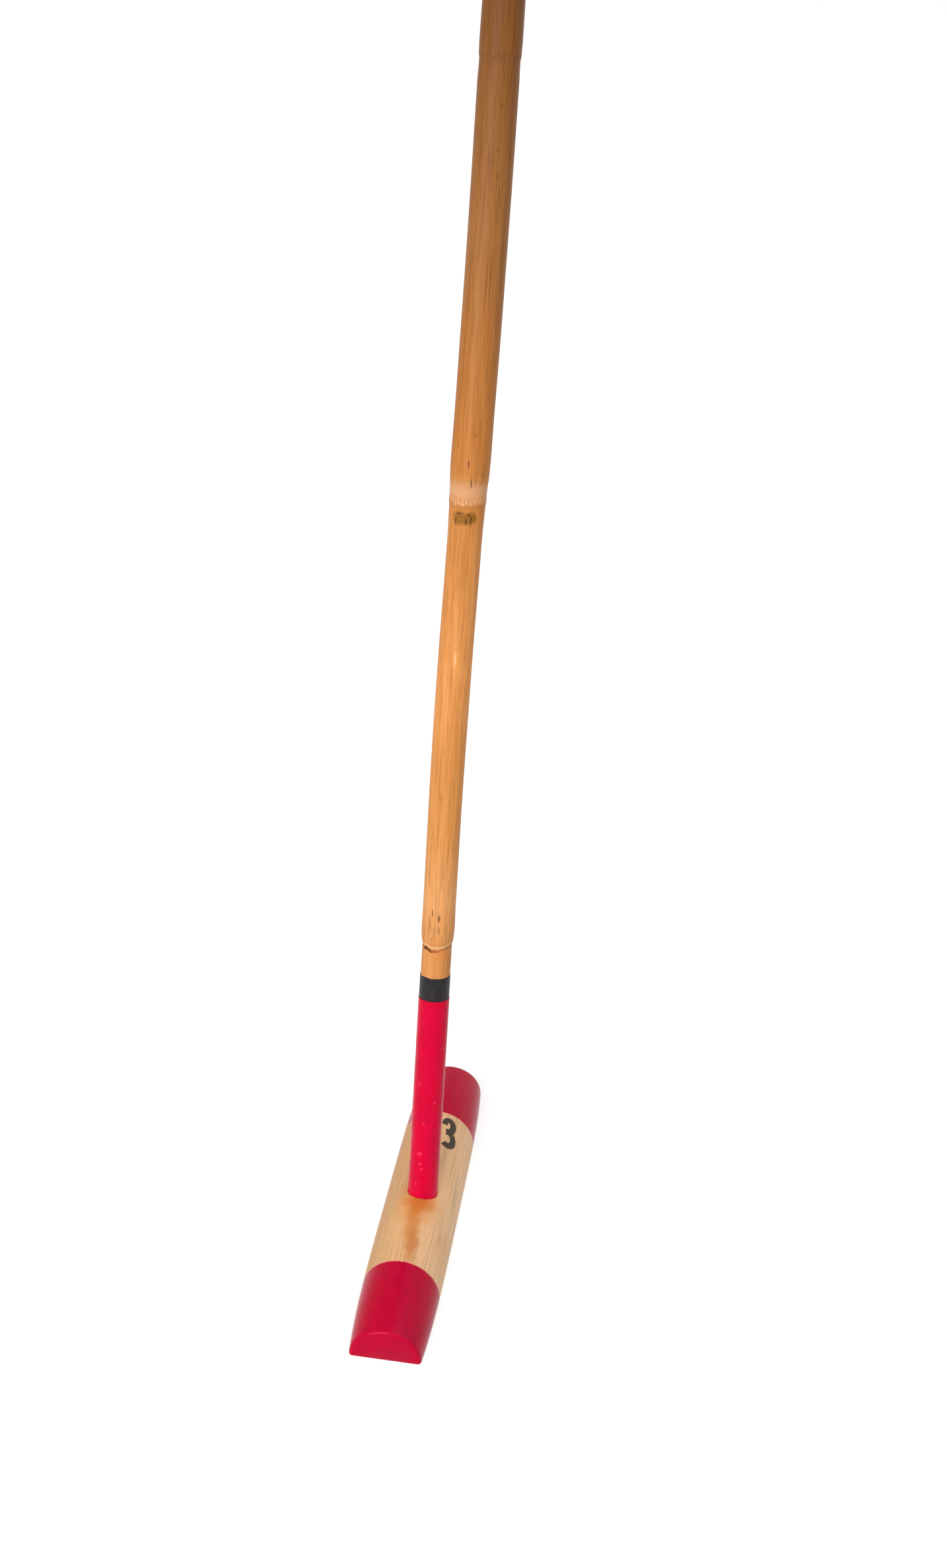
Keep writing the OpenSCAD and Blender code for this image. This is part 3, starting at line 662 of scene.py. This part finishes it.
def slingPath():  # the strap's middle line as (y, z), from one end in the handle round the loop to the other
    shape = slingShape
    lean = caneShape["runs"][-1][1]
    apart = shape["halfThick"] + shape["gap"]
    stack = [((shape["rootMiddle"], z), (-1, 0)) for z in steps(shape["rootLow"], shape["rootEnd"], 4)]
    for a in steps(180, 90, 12):
        side = (cos(radians(a)), sin(radians(a)))
        y, z = shape["rootCentre"]
        stack.append(((y + shape["rootBend"] * side[0], z + shape["rootBend"] * side[1]), side))
    y, z = shape["fold"] + shape["foldOut"] - shape["foldBend"], shape["at"] - shape["foldBend"]
    for a in steps(90, lean, 13):
        side = (cos(radians(a)), sin(radians(a)))
        stack.append(((y + shape["foldBend"] * side[0], z + shape["foldBend"] * side[1]), side))
    plies = {1: [], -1: []}
    for (y, z), side in stack:
        for ply in plies:
            point = inHandle @ Vector((0, y + ply * apart * side[0], z + ply * apart * side[1]))
            plies[ply].append((point.y, point.z))
    rise = shape["bendLow"] - shape["neck"]
    corner = atan2(rise, apart) - acos(shape["bend"] / sqrt(rise ** 2 + apart ** 2))
    for ply in plies:
        plies[ply] += [(slingFold.y + ply * apart, slingFold.z - d) for d in steps(5, shape["neck"], 4)]
        drop = rise - shape["bend"] * sin(corner)
        slope = (shape["bend"] * cos(corner) - apart) / (drop - shape["ease"])
        for d in steps(4, drop - 4, 4):
            out = apart + slope * (d - shape["ease"] * (1 - exp(-d / shape["ease"])))
            plies[ply].append((slingFold.y + ply * out, slingFold.z - shape["neck"] - d))
    low = slingFold.z - shape["bendLow"]
    bend = [(slingFold.y + shape["bend"] * cos(a), low + shape["bend"] * sin(a))
            for a in steps(corner, -pi - corner, 0.12)]
    return plies[1] + bend + plies[-1][::-1]


def makeSling(cotton, thread):
    shape = slingShape
    path = slingPath()

    def place(turn, i):
        y, z = path[i]
        (y0, z0), (y1, z1) = path[max(i - 1, 0)], path[min(i + 1, len(path) - 1)]
        ahead = Vector((y1 - y0, z1 - z0)).normalized()
        a = turn * 2 * pi
        across = shape["halfWidth"] * copysign(abs(cos(a)) ** 0.22, cos(a))
        thick = shape["halfThick"] * copysign(abs(sin(a)) ** 0.4, sin(a))
        return slingFold.x + across, y - ahead.y * thick, z + ahead.x * thick
    bm = wrapGrid(40, lengthsAlong(path), place)
    strap = addPiece("sling_webbing", bm, cotton, body=None, slot="webbing", stands=["sling_root", "sling_loop"],
                     sharp=50)
    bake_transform(strap)

    right, top, bottom = shape["stitchBox"]
    corners = [(-right, top), (right, top), (right, bottom), (-right, bottom), (-right, top)]
    lines = list(zip(corners, corners[1:])) + [(corners[0], corners[2]), (corners[1], corners[3])]
    seams = bmesh.new()
    for (x0, z0), (x1, z1) in lines:
        length = sqrt((x1 - x0) ** 2 + (z1 - z0) ** 2)
        for s in steps(1.6, length - 1.6, shape["stitch"]):
            x, z = x0 + (x1 - x0) * s / length, z0 + (z1 - z0) * s / length
            for side in (-1, 1):
                size = Matrix.Diagonal((*shape["stitchSize"], 1))
                turn = Matrix.Rotation(-atan2(z1 - z0, x1 - x0), 4, "Y")
                spot = slingFold + Vector((x, side * (2 * shape["halfThick"] + 0.1), z))
                bmesh.ops.create_uvsphere(seams, u_segments=8, v_segments=6, radius=mm,
                                          matrix=Matrix.Translation(spot * mm) @ turn @ size)
    addPiece("sling_stitching", seams, thread, body="sling", slot="webbing", sharp=80)


# Materials

def varnishedHardwood():
    # Pale hardwood, sanded and varnished by brush: long soft grain, grey streaks, fine dark pores and an
    # orange glue stain under the sleeve, with painted light and shade across it
    material, tree = startMaterial("varnished hardwood")
    where = addNode(tree, "TexCoord", out="Object")
    # Painted light and shade: the wood runs from darker orange at -X to paler at +X, a painted sheen on the right
    # slope
    across = addNode(tree, "MapRange", {"Value": addNode(tree, "SeparateXYZ", {0: where}, out="X"),
                                        "From Min": -22 * mm, "From Max": 22 * mm})
    colour = addNode(tree, "Mix", {0: across, 6: linear("d39a5e"), 7: linear("fdd0a2")}, out=2, data_type="RGBA")
    colour, grain = layColours(tree, where, colour, (
        ((7, 110, 7), 0.36, 0.64, "ecbd87", 0.5), ((14, 60, 14), 0.50, 0.72, "d2985e", 0.4),
        ((5, 50, 5), 0.56, 0.74, "b39a76", 0.4), ((0.6, 5, 0.6), 0.66, 0.76, "8c6542", 0.35),
        ((1.5, 2.4, 1.5), 0.76, 0.80, "654b39", 0.8), ((0.9, 60, 0.9), 0.50, 0.72, "bd8e5a", 0.55)))
    ragged = addNode(tree, "TexNoise", {"Vector": where, "Scale": 160.0, "Detail": 4.0})
    colour = layStains(tree, where, colour, (
        ((1.0 * mm, -21 * mm, 25 * mm), (12 * mm, 16 * mm, 12 * mm), "e49a51", 0.65),
        ((1.5 * mm, -19 * mm, 25 * mm), (7 * mm, 10 * mm, 12 * mm), "d06b1e", 0.8),
        ((0.5 * mm, -38 * mm, 25 * mm), (3.6 * mm, 19 * mm, 12 * mm), "d18035", 0.7),
        ((3.4 * mm, -55 * mm, 25 * mm), (3 * mm, 12 * mm, 12 * mm), "c97c3d", 0.75),
        ((-6.8 * mm, -11 * mm, 25 * mm), (4 * mm, 9 * mm, 12 * mm), "db9a5a", 0.4)), ragged)
    rough = addNode(tree, "MapRange", {"Value": grain, "To Min": 0.36, "To Max": 0.5})
    endMaterial(tree, Base_Color=colour, Roughness=rough, relief=(grain, 0.4, 0.06), IOR=1.5, Specular_IOR_Level=0.14)
    return material


def crimsonEnamel():
    # Gloss enamel on wood, dipped and brushed: even red with a faint orange-peel and a few specks of dust
    material, tree = startMaterial("crimson enamel")
    where = addNode(tree, "TexCoord", out="Object")
    colour, grain = layColours(tree, where, linear("c1002d"), (
        ((16, 30, 16), 0.38, 0.68, "b60537", 0.7), ((0.8, 0.8, 0.8), 0.75, 0.80, "680d21", 0.6),
        ((2.2, 3, 2.2), 0.4, 0.7, "d10337", 0.5)))
    endMaterial(tree, Base_Color=colour, Roughness=0.22, relief=(grain, 0.3, 0.05), IOR=1.45, Specular_IOR_Level=0.08)
    return material


def firstCoat():
    # Thin first coat that shows past the enamel's edge: pale, streaky orange pink
    material, tree = startMaterial("thin enamel edge")
    where = addNode(tree, "TexCoord", out="Object")
    colour, _ = layColours(tree, where, linear("f4aa81"), (((1.4, 1.4, 1.4), 0.35, 0.65, "e56f78", 1.0),))
    endMaterial(tree, Base_Color=colour, Roughness=0.4, IOR=1.5, Specular_IOR_Level=0.2)
    return material


def stampInk():
    # Stamping ink soaked into the wood: dark brown grey, thinner where the grain drank it
    material, tree = startMaterial("stamping ink")
    where = addNode(tree, "TexCoord", out="Object")
    colour, _ = layColours(tree, where, linear("43372d"), (
        ((1.2, 8, 1.2), 0.42, 0.72, "5b4e42", 0.8), ((0.6, 3, 0.6), 0.68, 0.76, "836d54", 0.6)))
    endMaterial(tree, Base_Color=colour, Roughness=0.6, IOR=1.45, Specular_IOR_Level=0.2)
    return material


def varnishedRattan():
    # Skinned rattan under thin varnish: amber with fine fibres along it, pale rings and torn dark scars
    # at the nodes, a painted highlight on the first node's lip, and painted shade darkening it towards the hand
    material, tree = startMaterial("varnished rattan")
    lean = radians(caneShape["runs"][0][1])
    x, y = caneShape["foot"]
    where = addNode(tree, "Mapping", {"Vector": addNode(tree, "TexCoord", out="Object"), "Rotation": (lean, 0, 0),
                                      "Location": (-x * mm, -y * cos(lean) * mm, -y * sin(lean) * mm)})
    uv = addNode(tree, "TexCoord", out="UV")
    colour, fibres = layColours(tree, where, linear("f2b074"), (
        ((14, 14, 60), 0.44, 0.72, "d49359", 0.45), ((3, 3, 110), 0.50, 0.74, "ffc991", 0.35),
        ((1.2, 1.2, 45), 0.50, 0.72, "ba7944", 0.5), ((0.6, 0.6, 5), 0.68, 0.76, "815336", 0.7),
        ((5, 5, 8), 0.68, 0.76, "e48646", 0.3), ((0.5, 0.5, 22), 0.50, 0.72, "ab7346", 0.55)))
    # Painted light and shade along the cane, darkest towards the hand: start and end along the cane in metres, and
    # tone
    along = addNode(tree, "SeparateXYZ", {0: uv}, out="Y")
    paintedShadeTone = linear("e8d9bd")
    for start, end, paint in ((0.180, 0.205, "f8f2e6"), (0.21, 0.25, "eddcb6"), (0.27, 0.33, "fbeacb"),
                              (0.34, 0.46, "d0b78b"), (0.46, 0.55, "b0a085"), (0.56, 0.66, "897759")):
        share = addNode(tree, "MapRange", {"Value": along, "From Min": start, "From Max": end})
        paintedShadeTone = addNode(tree, "Mix", {0: share, 6: paintedShadeTone, 7: linear(paint)}, out=2, data_type="RGBA")
    colour = addNode(tree, "Mix", {0: 1.0, 6: colour, 7: paintedShadeTone}, out=2, data_type="RGBA", blend_type="MULTIPLY")
    ragged = addNode(tree, "TexNoise", {"Vector": where, "Scale": 420.0, "Detail": 4.0})
    # Rings: place in millimetres, half width, colour, amount
    rings = [((0.5, place * mm, 0), (90, half * mm, 1), paint, amount) for place, half, paint, amount in (
        # the pale ring at 181.1 is a painted highlight along the first node's lip
        (179.2, 0.4, "a55c35", 0.8), (181.1, 0.5, "ffd09b", 0.6), (424.6, 1.0, "b87d46", 0.4),
        (427.0, 1.0, "dc9d68", 0.6), (432.0, 4.2, "dea577", 0.9), (438.5, 1.2, "c98d4e", 0.4),
        (637.6, 1.0, "715030", 0.3), (850.4, 1.0, "5a3b1f", 0.6), (855.5, 2.5, "ab7f55", 0.35))]
    colour = layStains(tree, uv, colour, rings, ragged, soft=0.9)
    # Patches and dashes: turn, half turn, place, half length, colour, amount
    marks = [
        (0.39, 0.045, 178.9, 0.9, "5c2716", 0.95), (0.445, 0.03, 178.4, 0.7, "6c2f1b", 0.9),
        (0.50, 0.045, 178.7, 0.6, "a84d32", 0.85), (0.578, 0.06, 176, 3.0, "dc7d3a", 0.4),
        (0.430, 0.007, 195, 4.0, "966732", 0.7), (0.445, 0.005, 193, 3.0, "966732", 0.5),
        (0.458, 0.006, 200.5, 2.0, "6d4729", 0.8), (0.526, 0.009, 197.5, 2.0, "6d4529", 0.85),
        (0.515, 0.005, 199, 3.0, "966732", 0.6), (0.530, 0.007, 191, 2.2, "935a46", 0.7),
        (0.486, 0.010, 190.5, 2.4, "ab7b62", 0.6), (0.586, 0.008, 192.5, 2.0, "a5733b", 0.5),
        (0.46, 0.060, 418.9, 3.6, "93611f", 0.9), (0.55, 0.060, 418.6, 3.6, "93611f", 0.9),
        (0.422, 0.005, 417.0, 2.0, "4d331b", 0.9), (0.518, 0.007, 417.0, 1.4, "4d331b", 0.9),
        (0.562, 0.007, 418.2, 2.2, "4d331b", 0.9), (0.45, 0.025, 421.6, 0.5, "5a3b1f", 0.85),
        (0.54, 0.010, 421.0, 1.0, "5a3b1f", 0.8), (0.595, 0.006, 419.0, 1.8, "815729", 0.8),
        (0.506, 0.006, 446.0, 1.8, "603a1f", 0.9), (0.538, 0.006, 437.0, 2.4, "6d472e", 0.8),
        (0.574, 0.005, 437.5, 1.2, "835031", 0.6), (0.406, 0.006, 455, 1.0, "966732", 0.7),
        (0.545, 0.007, 455, 6.0, "c17437", 0.6), (0.542, 0.006, 461, 0.8, "835031", 0.7),
        (0.519, 0.006, 344, 4.0, "ffdca9", 0.7), (0.482, 0.010, 646, 0.7, "714d2c", 0.8),
        (0.518, 0.005, 643.5, 1.2, "845d36", 0.7), (0.478, 0.007, 629, 0.6, "714d2c", 0.7),
        (0.558, 0.006, 617, 0.7, "603e1f", 0.8), (0.550, 0.008, 597, 1.6, "714d2c", 0.7),
        (0.562, 0.005, 585, 2.0, "714d2c", 0.8), (0.15, 0.12, 416, 4.0, "81572c", 0.7),
        (0.85, 0.10, 628, 5.0, "815a30", 0.6), (0.45, 0.08, 840, 5.0, "674727", 0.6),
        (0.25, 0.03, 200, 6.0, "9e653a", 0.6), (0.75, 0.02, 197, 6.0, "9e653a", 0.6),
        (0.08, 0.02, 195, 5.0, "835031", 0.6)]
    marks += [(0.41 + 0.024 * i, 0.006, 425.6 + 0.9 * (i * 5 % 3), 0.45, "ffd09b", 0.8) for i in range(8)]
    marks += [(0.424 + 0.036 * i, 0.005, 427.2, 0.3, "714726", 0.8) for i in range(5)]
    marks = [((turn, place * mm, 0), (halfTurn, half * mm, 1), paint, amount)
             for turn, halfTurn, place, half, paint, amount in marks]
    colour = layStains(tree, uv, colour, marks, ragged, soft=0.35)
    rough = addNode(tree, "MapRange", {"Value": fibres, "To Min": 0.36, "To Max": 0.52})
    endMaterial(tree, Base_Color=colour, Roughness=rough, relief=(fibres, 0.5, 0.1), IOR=1.48, Specular_IOR_Level=0.12)
    return material


def rattanEnd():
    # Rattan sawn across: open dark vessels in a pale ground
    material, tree = startMaterial("rattan end grain")
    where = addNode(tree, "TexCoord", out="Object")
    scaled = addNode(tree, "Mapping", {"Vector": where, "Scale": (1 / (0.8 * mm), 1 / (0.8 * mm), 20)})
    cells = addNode(tree, "TexVoronoi", {"Vector": scaled, "Scale": 1.0})
    share = addNode(tree, "MapRange", {"Value": cells, "From Min": 0.12, "From Max": 0.34})
    colour = addNode(tree, "Mix", {0: share, 6: linear("563824"), 7: linear("ba8d5b")}, out=2, data_type="RGBA")
    endMaterial(tree, Base_Color=colour, Roughness=0.6, relief=(cells, 0.6, 0.1), IOR=1.5)
    return material


def shrunkVinyl():
    # Shrunk vinyl sleeve: smooth gloss crimson, scuffed a little, with soft dents that carry painted highlights
    material, tree = startMaterial("shrunk vinyl")
    where = addNode(tree, "TexCoord", out="Object")
    colour, grain = layColours(tree, where, linear("d80034"), (
        ((9, 14, 22), 0.40, 0.68, "c80336", 0.8), ((0.7, 0.7, 1.4), 0.75, 0.80, "fc618a", 0.7),
        ((3, 3, 5), 0.4, 0.7, "e3003d", 0.5)))
    ragged = addNode(tree, "TexNoise", {"Vector": where, "Scale": 500.0, "Detail": 3.0})
    # Painted highlights: pale pink spots over the dents, standing in for light caught by them
    paintedDentHighlights = [((side / 360, place * mm, 0), (reach / 130, 0.4 * reach * mm, 1), "ff4476", 2.4 * depth)
              for place, side, reach, depth in sleeveShape["dents"]]
    colour = layStains(tree, addNode(tree, "TexCoord", out="UV"), colour, paintedDentHighlights, ragged)
    endMaterial(tree, Base_Color=colour, Roughness=0.25, relief=(grain, 0.35, 0.12), IOR=1.45, Specular_IOR_Level=0.1)
    return material


def insulatingTape(name, dark, pale):
    # PVC tape pulled tight: satin charcoal, fine stretch lines round it, a little dust
    material, tree = startMaterial(name)
    where = addNode(tree, "TexCoord", out="Object")
    colour, grain = layColours(tree, where, linear(dark), (
        ((3, 3, 4), 0.40, 0.70, pale, 0.8), ((0.8, 0.8, 0.8), 0.72, 0.78, "565055", 0.5),
        ((30, 30, 0.7), 0.45, 0.70, "191719", 0.5)))
    endMaterial(tree, Base_Color=colour, Roughness=0.45, relief=(grain, 0.4, 0.06), IOR=1.5, Specular_IOR_Level=0.2)
    return material


def sandedMaple():
    # Maple, sanded and lightly oiled: close pale grain with small flecks
    material, tree = startMaterial("sanded maple")
    where = addNode(tree, "Mapping", {"Vector": addNode(tree, "TexCoord", out="Object"),
                                      "Rotation": (radians(caneShape["runs"][-1][1]), 0, 0)})
    colour, grain = layColours(tree, where, linear("ca9c6a"), (
        ((5, 5, 80), 0.38, 0.66, "ddb381", 0.9), ((1.4, 1.4, 6), 0.62, 0.74, "a47748", 0.5),
        ((0.9, 0.9, 50), 0.50, 0.72, "b48856", 0.7)))
    endMaterial(tree, Base_Color=colour, Roughness=0.5, relief=(grain, 0.4, 0.08), IOR=1.5)
    return material


def bareWalnut():
    # Walnut split for a wedge, bare: dark straight grain
    material, tree = startMaterial("split walnut")
    where = addNode(tree, "TexCoord", out="Object")
    colour, grain = layColours(tree, where, linear("754c30"), (
        ((3, 3, 20), 0.4, 0.66, "5c3923", 0.9), ((0.5, 0.5, 12), 0.5, 0.72, "432919", 0.7)))
    endMaterial(tree, Base_Color=colour, Roughness=0.65, relief=(grain, 0.5, 0.1), IOR=1.5)
    return material


def drawnMetal(name, base, dull, roughness):
    # Drawn wire or a stamped tack: bright with fine scratches and a dull bloom
    material, tree = startMaterial(name)
    where = addNode(tree, "TexCoord", out="Object")
    colour, grain = layColours(tree, where, linear(base), (
        ((1.5, 1.5, 1.5), 0.42, 0.68, dull, 0.7), ((0.2, 6, 0.2), 0.5, 0.72, dull, 0.5)))
    rough = addNode(tree, "MapRange", {"Value": grain, "To Min": roughness, "To Max": roughness + 0.2})
    endMaterial(tree, Base_Color=colour, Roughness=rough, Metallic=1.0)
    return material


def cushionFoam():
    # Cotton cushion tape under the grip: matte charcoal weave
    material, tree = startMaterial("cotton cushion tape")
    where = addNode(tree, "TexCoord", out="Object")
    colour, grain = layColours(tree, where, linear("2c2a2b"), (
        ((1.2, 1.2, 1.2), 0.4, 0.66, "3e3b3c", 0.9), ((0.5, 0.5, 0.5), 0.45, 0.7, "1f1d1e", 0.6)))
    endMaterial(tree, Base_Color=colour, Roughness=0.85, relief=(grain, 0.6, 0.2), Sheen_Weight=0.15)
    return material


def rubberGrip():
    # Moulded rubber grip tape: matte black with small raised pips, greyed where the hand rubs it
    material, tree = startMaterial("moulded rubber")
    uv = addNode(tree, "TexCoord", out="UV")
    where = addNode(tree, "TexCoord", out="Object")
    colour, _ = layColours(tree, where, linear("151517"), (
        ((12, 12, 30), 0.40, 0.68, "212123", 0.9), ((0.8, 0.8, 0.8), 0.68, 0.76, "373636", 0.5)))
    # The tape's face, 23 mm, is 0.8 of the way round its section, so 14.375 cells along U are 2 mm each
    scaled = addNode(tree, "Mapping", {"Vector": uv, "Scale": (14.375, 1 / (2.0 * mm), 1)})
    cells = addNode(tree, "TexVoronoi", {"Vector": scaled, "Scale": 1.0, "Randomness": 0.0})
    pips = addNode(tree, "MapRange", {"Value": cells, "From Min": 0.2, "From Max": 0.42,
                                      "To Min": 1.0, "To Max": 0.0}, interpolation_type="SMOOTHSTEP")
    worn = addNode(tree, "Mix", {0: pips, 6: colour, 7: linear("29292c")}, out=2, data_type="RGBA")
    endMaterial(tree, Base_Color=worn, Roughness=0.62, relief=(pips, 0.7, 0.3), IOR=1.5, Specular_IOR_Level=0.25)
    return material


def wovenCotton():
    # Woven cotton webbing: cream, ribs across it every 1.5 mm, warp threads 0.9 mm apart, soiled by the hand
    material, tree = startMaterial("woven cotton webbing")
    where = addNode(tree, "TexCoord", out="Object")
    colour, _ = layColours(tree, where, linear("e2d2ab"), (
        ((10, 14, 14), 0.42, 0.70, "c9b68c", 0.7), ((0.6, 0.6, 0.6), 0.5, 0.74, "bdab83", 0.5)))
    across = addNode(tree, "SeparateXYZ", {0: where}, out="X")
    along = addNode(tree, "SeparateXYZ", {0: addNode(tree, "TexCoord", out="UV")}, out="Y")
    warp = addNode(tree, "Math", {0: addNode(tree, "Math", {0: across, 1: pi / (0.9 * mm)}, operation="MULTIPLY")},
                   operation="SINE")
    weft = addNode(tree, "Math", {0: addNode(tree, "Math", {0: along, 1: pi / (0.75 * mm)}, operation="MULTIPLY")},
                   operation="SINE")
    weave = addNode(tree, "Math", {0: warp, 1: weft}, operation="MULTIPLY")
    # Painted shade in the weave's hollows: darker where the weave's relief is low
    share = addNode(tree, "MapRange", {"Value": weave, "From Min": -1.0, "From Max": 0.2,
                                       "To Min": 0.5, "To Max": 0.0})
    colour = addNode(tree, "Mix", {0: share, 6: colour, 7: linear("b09e77")}, out=2, data_type="RGBA")
    endMaterial(tree, Base_Color=colour, Roughness=0.85, relief=(weave, 0.6, 0.25), Sheen_Weight=0.2)
    return material


def waxedThread():
    # Waxed linen thread: brown, twisted, slightly shiny
    material, tree = startMaterial("waxed thread")
    where = addNode(tree, "TexCoord", out="Object")
    colour, grain = layColours(tree, where, linear("85512a"), (((0.4, 0.4, 0.4), 0.4, 0.66, "62381b", 0.8),))
    endMaterial(tree, Base_Color=colour, Roughness=0.5, relief=(grain, 0.5, 0.1))
    return material


charcoalTape = insulatingTape("charcoal PVC tape", "221e22", "302c31")
blackTape = insulatingTape("black PVC tape", "161618", "232325")
brass = drawnMetal("drawn brass", "c9a04e", "8f6c2f", 0.3)
zinc = drawnMetal("zinc plated steel", "a9abae", "7c7e82", 0.35)
print("materials made")

makeHead((varnishedHardwood(), crimsonEnamel(), firstCoat()))
makeFigures(stampInk())
makeSleeve(shrunkVinyl())
makeBand(charcoalTape)
makeCane(varnishedRattan(), rattanEnd())
print("head and cane made")
makeHandle(sandedMaple())
makeCushion(cushionFoam())
makeGrip(rubberGrip())
makeCollar(blackTape)
print("handle and grip made")
makeSling(wovenCotton(), waxedThread())
print("sling made, fold at", [round(v, 2) for v in slingFold])

for name, material in (("head_wedge", bareWalnut()), ("head_nail", brass), ("handle_pins", brass),
                       ("sling_tacks", zinc)):
    for slot in bpy.data.objects[name].material_slots:
        slot.material = material
print("fittings dressed")
